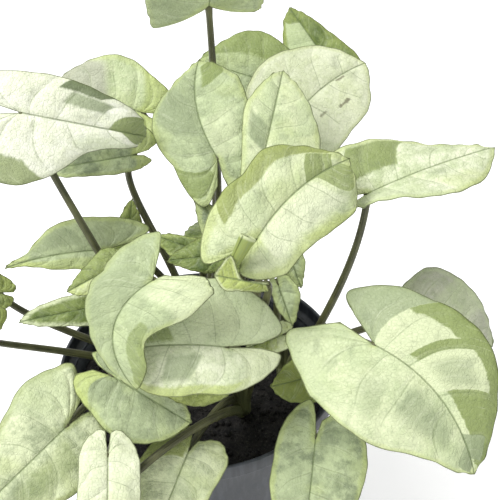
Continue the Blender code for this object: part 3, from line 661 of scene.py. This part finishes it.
def blade_finish(name, tones, seed):
    """Tissue of one blade, layer over layer. MOTTLE to BELOW are the shares of its layers of colour."""
    paint = Paint(name, specular=.25)
    along, across, edge = paint.read("flat")
    row, side, under = paint.read("veins")
    spot = paint.join(along, across, seed * 31.7)
    width = abs(side)
    ragged = paint.noise(spot, 3.0, 5, .7) - .5
    drift = paint.noise(spot, 15, 3, .55) - .5
    turn = row / VEIN_SPACE
    sector = paint.node("ShaderNodeMath", {"operation": "FLOOR"}, {0: turn})
    from_vein = .5 - abs(turn - sector - .5)
    half = paint.node("ShaderNodeMath", {"operation": "SIGN"}, {0: side})
    own = paint.node("ShaderNodeTexWhiteNoise", {}, {"Vector": paint.join(sector, half, seed * 1.0)}) - .5
    near_rib = paint.step(width, .8, .1)
    mist = paint.step(drift + own * .16 + near_rib * .06 + from_vein * .12 + ragged * .55, -.10, .26)
    tone = paint.mix(mist * tones["clouding"], tones["ground"], tones["cloud"])
    mottle = paint.step(paint.noise(spot, MOTTLE_MM, 5, .65), .46, .64)
    tone = paint.mix(mottle * MOTTLE, tone, tones["cloud"])
    sunny = paint.step(paint.noise(paint.join(along, across, seed * 7.3), 20, 2), .46, .68)
    tone = paint.mix(sunny * tones["warm"], tone, LIME)
    if tones["rim"]:
        colour, wide, share = tones["rim"]
        zone = paint.step(edge + (ragged * 1.2 + drift * 1.2) * wide, wide * 1.4, wide * .5)
        tone = paint.mix(zone * share, tone, colour)
    swept = row + ragged * .10
    out_to = width + ragged * .13
    for which, start, end, inner, outer, colour, share, soft in tones["patches"]:
        inside = paint.step(swept, start - soft, start + soft) * paint.step(swept, end + soft, end - soft)
        if inner > 0:
            inside = inside * paint.step(out_to, inner - soft, inner + soft)
        if outer < 1:
            inside = inside * paint.step(out_to, outer + soft, outer - soft)
        if which:
            inside = inside * paint.step(side * which, -.01, .01)
        tone = paint.mix(inside * share, tone, colour)
    net = paint.step(paint.cells(spot, NET_MM, "DISTANCE_TO_EDGE"), .05, .005)
    small_net = paint.step(paint.cells(spot, SMALL_NET_MM, "DISTANCE_TO_EDGE"), .14, .02)
    fleck = paint.step(paint.noise(spot, FLECK_MM, 3), .52, .68) * paint.step(drift + ragged * .5, -.10, .15)
    shadow = paint.step(paint.noise(spot, SHADOW_MM, 4, .6), .54, .72) * paint.step(width, 1, .6)
    tone = paint.mix(shadow * SHADOW, tone, SLATE)
    streaks = paint.noise(paint.join(row * 9, width * 1.2, seed * 3.1), 1.0, 4, .7)
    tone = paint.mix(paint.step(streaks, .54, .70) * STREAKS, tone, IVORY)
    tone = paint.mix(net * NET + small_net * SMALL_NET + fleck * FLECK, tone, SLATE)
    halo = paint.step(from_vein, .13, .02) * paint.step(width, 1, .7) * paint.step(ragged, -.2, .2)
    tone = paint.mix(halo * HALO, tone, IVORY)
    lateral = paint.step(from_vein, .034, .006) * paint.step(width, .95, .5) * paint.step(ragged, -.3, .05)
    rib = paint.step(abs(across), .55, .15) * paint.step(along, -.5, .5)
    tone = paint.mix(lateral * tones["vein"], tone, VEIN_LINE)
    tone = paint.mix(rib * RIB, tone, VEIN_LINE)
    line = paint.step(edge + ragged * .5, .62, .22)
    tone = paint.mix(line * EDGE, tone, EDGE_LINE)
    below = paint.mix(paint.step(from_vein, .16, .04) * .8, UNDERSIDE, UNDER_VEIN)
    tone = paint.mix(under * BELOW, tone, below)
    height = paint.step(from_vein, 0, .2) * .3 - net * .08 - small_net * .14 - rib * .3
    height = height + drift * 2.5 + mottle * .25
    return paint.done(tone, .44 + ragged * .14 + mist * .06, height, .8)


for number, (node, leaf) in enumerate(LEAVES.items()):
    name = node.replace("leaf", "blade")
    piece(name, blade_mesh(leaf, number), blade_finish(name, LOOKS[node], number), node)

# ---------------------------------------------------------------- the rolled young leaf
# The newest leaf, still wound round itself into a tapered tube that is open at its mouth. It is the
# same thin tissue as the blades, greener outside, with painted shade down its inside, and stands on its own
# stalk.
ROLLED_FOOT, ROLLED_MOUTH, ROLLED_R = (22, -62, 253), (30, -63, 271), (1.6, 4.0)
ROLLED_STALK = ("front", 50, 14, (0, 0), (0, 30, 6))
ROLL_TURNS, ROLL_THICK, ROLL_OVERLAP, MOUTH_SLANT = 1.35, .5, .9, .10
ROLL_COLS, ROLL_ROWS = 60, 30


def rolled_mesh():
    """A sheet wound round the leaf's axis. Its layer is the place round, the place up, and 1 inside."""
    bm = bmesh.new()
    bmesh.ops.create_grid(bm, x_segments=ROLL_COLS, y_segments=ROLL_ROWS, size=1)
    foot, mouth = Vector(ROLLED_FOOT), Vector(ROLLED_MOUTH)
    turn = (mouth - foot).normalized().to_track_quat("Z", "Y").to_matrix()
    layer = bm.loops.layers.float_vector.new("flat")
    for vert in bm.verts:
        u, v = (vert.co.x + 1) / 2, (vert.co.y + 1) / 2
        a = 2 * pi * ROLL_TURNS * u
        r = ROLLED_R[0] + (ROLLED_R[1] - ROLLED_R[0]) * v ** .6 - ROLL_OVERLAP * (1 - u) * v
        high = (mouth - foot).length * v * (1 - MOUTH_SLANT * cos(a))
        vert.co = (foot + turn @ Vector((r * cos(a), r * sin(a), high))) * MM
        for loop in vert.link_loops:
            loop[layer] = (u, v, 0)
    bmesh.ops.recalc_face_normals(bm, faces=bm.faces)
    bmesh.ops.solidify(bm, geom=bm.faces[:], thickness=ROLL_THICK * MM)
    bm.normal_update()
    axis = (mouth - foot).normalized()
    for face in bm.faces:
        away = face.calc_center_median() / MM - foot
        if face.normal.dot(away - away.dot(axis) * axis) < 0:
            for loop in face.loops:
                loop[layer].z = 1
    return bm


def rolled_finish():
    """Green tissue with lengthwise streaks, a cream lip, and painted shade inside, darker down the mouth."""
    paint = Paint("rolled_leaf", specular=.35)
    at = paint.place()
    around, high, inner = paint.read("flat")
    streak = paint.noise(paint.join(around * 30, high * 3, 1.0), 1.0, 3)
    tone = paint.mix(paint.step(streak, .35, .65), GREEN, OLIVE)
    tone = paint.mix(paint.step(high, .90, .97) * .6, tone, CREAM)
    # Painted shade: the inside of the tube turns deep green from just under the mouth downwards.
    tone = paint.mix(inner * paint.step(high, 1.0, .75) * .9, tone, DEEP)
    return paint.done(tone, .45 + streak * .1, streak * .4 + paint.noise(at, 1.2) * .3, .5)


piece("rolled_leaf_32", rolled_mesh(), rolled_finish(), "leaf_32_rolled")

# ---------------------------------------------------------------- stems and leaf stalks
# Five plantlets, each a short jointed stem with a fan of leaf stalks. A stalk is a firm olive rod with
# a clasping sheath at its foot and fine lengthwise streaks, and it runs straight into its blade.
STEM_R, STEM_LOW_Z, STEM_TOP_Z = 5.0, 99.0, 129.0
STALK_R_LOW, STALK_R_TOP, STALK_CLEAR = 2.3, 1.7, .4
STEM_STEPS, STEM_RINGS, STEM_TAPER, STEM_JOINT = 28, 16, .2, .35
CROWN_SINK, CROWN_SPREAD = 8.0, 2.2
STALK_SIDES, STALK_STEPS = 14, 30
SHEATH_SWELL, END_SWELL, CHANNEL_DEEP = .8, .35, .30
STALK_DARK, STALK_PALE, STALK_FOOT = (.040, .042, .018, 1), (.12, .125, .05, 1), (.20, .23, .10, 1)


def stalk_path(end, away, crown, rise, stretch, low=(0, 0), high=(0, 0, 0)):
    """Four handles of a stalk's curve, from the crown up to just under the blade."""
    come = away * stretch - np.array(high)
    slant = np.sqrt(max(0, 1 - (come @ away / np.linalg.norm(come)) ** 2))
    end = end - away * STALK_R_TOP * slant
    start = np.array([*CROWNS[crown], STEM_TOP_Z - CROWN_SINK])
    lean = np.array([end[0] - start[0], end[1] - start[1], 0])
    lean *= CROWN_SPREAD / max(np.linalg.norm(lean), 1)
    start = start + lean
    return start, start + lean * rise * .08 + np.array([low[0], low[1], rise]), end - come, end


def add_stalk(bm, handles, reach):
    """Draws one stalk ring by ring along its curve. reach carries it on into the blade."""
    b0, b1, b2, b3 = handles
    b3 = b3 + reach
    t = np.linspace(0, 1, STALK_STEPS + 1)[:, None]
    path = (1 - t) ** 3 * b0 + 3 * t * (1 - t) ** 2 * b1 + 3 * t * t * (1 - t) * b2 + t ** 3 * b3
    aim = np.gradient(path, axis=0)
    layer = bm.loops.layers.float_vector["stalk"]
    edges, side = [], Vector((1, 0, 0))
    for k in range(STALK_STEPS + 1):
        s = k / STALK_STEPS
        ahead = Vector(aim[k]).normalized()
        side = (side - side.dot(ahead) * ahead).normalized()
        other = ahead.cross(side)
        r = STALK_R_LOW + (STALK_R_TOP - STALK_R_LOW) * s + SHEATH_SWELL * (1 - s) ** 6
        r += END_SWELL * smooth(s, .93, .99)
        if k == 0:
            ring = bmesh.ops.create_circle(bm, cap_ends=True, segments=STALK_SIDES, radius=1)["verts"]
            edges = list({e for v in ring for e in v.link_edges})
        else:
            made = bmesh.ops.extrude_edge_only(bm, edges=edges)["geom"]
            ring = [g for g in made if isinstance(g, bmesh.types.BMVert)]
            edges = [g for g in made if isinstance(g, bmesh.types.BMEdge)
                     and all(v in ring for v in g.verts)]
        for n, vert in enumerate(ring):
            a = 2 * pi * n / STALK_SIDES
            groove = 1 - CHANNEL_DEEP * smooth(.45 - s, 0, .3) * max(0, cos(a)) ** 3
            vert.co = (Vector(path[k]) + (side * cos(a) + other * sin(a)) * r * groove) * MM
            for loop in vert.link_loops:
                loop[layer] = (s, a, 0)
    bmesh.ops.contextual_create(bm, geom=edges)


def stem_mesh(crown, stalks):
    """One plantlet: its jointed stem with its leaf stalks."""
    x, y = CROWNS[crown]
    rings = [(0, STEM_LOW_Z)]
    for k in range(STEM_RINGS):
        s, joint = k / (STEM_RINGS - 1), STEM_JOINT if k % 5 == 3 else 0
        rings.append((STEM_R * (1 - STEM_TAPER * s) + joint, STEM_LOW_Z + (STEM_TOP_Z - STEM_LOW_Z) * s))
    bm = turned(rings + [(0, STEM_TOP_Z)], STEM_STEPS)
    bmesh.ops.translate(bm, verts=bm.verts, vec=Vector((x, y, 0)) * MM)
    bm.loops.layers.float_vector.new("stalk")
    for handles, reach in stalks:
        add_stalk(bm, handles, reach)
    bmesh.ops.recalc_face_normals(bm, faces=bm.faces)
    return bm


def stalk_finish():
    """Dark olive skin with paler lengthwise streaks and a pale green sheath."""
    paint = Paint("leaf_stalks", specular=.4)
    at = paint.place()
    high, around = paint.read("stalk")[:2]
    streak = paint.noise(paint.join(around * 4, high * 6, 2.0), 1.0, 4)
    blotch = paint.noise(at, 14, 3)
    tone = paint.mix(paint.step(streak * .6 + blotch * .4, .38, .62), STALK_DARK, STALK_PALE)
    tone = paint.mix(paint.step(high, .22, .02) * .5, tone, STALK_FOOT)
    fine = paint.noise(at, .8, 2)
    return paint.done(tone, .40 + fine * .15, streak * .5 + fine * .15, .5)


STALK_FINISH = stalk_finish()
for crown in CROWNS:
    stalks = []
    for leaf in LEAVES.values():
        if leaf["stalk"][0] == crown:
            base, length, along, across, out = leaf_frame(leaf)[:5]
            stalks.append((stalk_path(base - out * (BLADE_THICK / 2 + STALK_CLEAR), out, *leaf["stalk"]),
                           out * (STALK_CLEAR + .3)))
    if ROLLED_STALK[0] == crown:
        foot, mouth = np.array(ROLLED_FOOT, float), np.array(ROLLED_MOUTH, float)
        axis = (mouth - foot) / np.linalg.norm(mouth - foot)
        stalks.append((stalk_path(foot - axis * STALK_CLEAR, axis, *ROLLED_STALK), axis * 1.5))
    piece("stalks_" + crown, stem_mesh(crown, stalks), STALK_FINISH, "plantlet_" + crown)

# ---------------------------------------------------------------- floor, light and camera
# A plain pale floor, soft studio light from all round with a broad lamp above and to the left, and the
# camera looking down on the plant as the photograph does. Places here are in metres.
FLOOR_HALF, FLOOR_Z = 6.0, -.0005
FLOOR_DIM, FLOOR_PALE, FLOOR_GLOW = (.94, .94, .94, 1), (.97, .97, .97, 1), .35
SKY_STRENGTH = .72
LAMP_AT, LAMP_AIM, LAMP_SIZE, LAMP_POWER = (-.7, -.2, 1.4), (0, 0, .2), .8, 20
CAMERA_AT, CAMERA_DOWN, CAMERA_ROLL, CAMERA_LENS = (.030, -.459, .582), 38.8, -2.5, 83.16
SKY = (1.0, 1.0, 1.0, 1)


def floor_finish():
    paint = Paint("pale_floor", specular=.2)
    paint.shader.inputs["Emission Color"].default_value = SKY
    paint.shader.inputs["Emission Strength"].default_value = FLOOR_GLOW
    mottle = paint.noise(paint.place(), 60, 3)
    return paint.done(paint.mix(mottle, FLOOR_DIM, FLOOR_PALE), .75 + mottle * .1, mottle, .05)


bm = bmesh.new()
bmesh.ops.create_grid(bm, x_segments=8, y_segments=8, size=FLOOR_HALF)
mesh = bpy.data.meshes.new("floor")
bm.to_mesh(mesh)
bm.free()
mesh.materials.append(floor_finish())
floor = bpy.data.objects.new("floor", mesh)
floor.location.z = FLOOR_Z
bpy.context.scene.collection.objects.link(floor)

world = bpy.data.worlds.new("studio")
world.use_nodes = True
world.node_tree.nodes["Background"].inputs["Color"].default_value = SKY
world.node_tree.nodes["Background"].inputs["Strength"].default_value = SKY_STRENGTH
bpy.context.scene.world = world

light = bpy.data.lights.new("broad_lamp", "AREA")
light.shape, light.size, light.energy = "DISK", LAMP_SIZE, LAMP_POWER
lamp = bpy.data.objects.new("broad_lamp", light)
lamp.location = LAMP_AT
lamp.rotation_euler = (Vector(LAMP_AIM) - Vector(LAMP_AT)).to_track_quat("-Z", "Y").to_euler()
bpy.context.scene.collection.objects.link(lamp)

camera = bpy.data.objects.new("camera", bpy.data.cameras.new("camera"))
camera.data.lens = CAMERA_LENS
camera.data.sensor_width = 36
camera.data.clip_start, camera.data.clip_end = .01, 50
down, roll = radians(CAMERA_DOWN), radians(CAMERA_ROLL)
right = Vector((cos(roll), sin(down) * sin(roll), cos(down) * sin(roll)))
ahead = Vector((0, cos(down), -sin(down)))
up = right.cross(ahead)
camera.matrix_world = Matrix.Translation(CAMERA_AT) @ Matrix((right, up, -ahead)).transposed().to_4x4()
bpy.context.scene.collection.objects.link(camera)
bpy.context.scene.camera = camera
bpy.context.scene.view_settings.view_transform = "Standard"

bpy.context.view_layer.update()
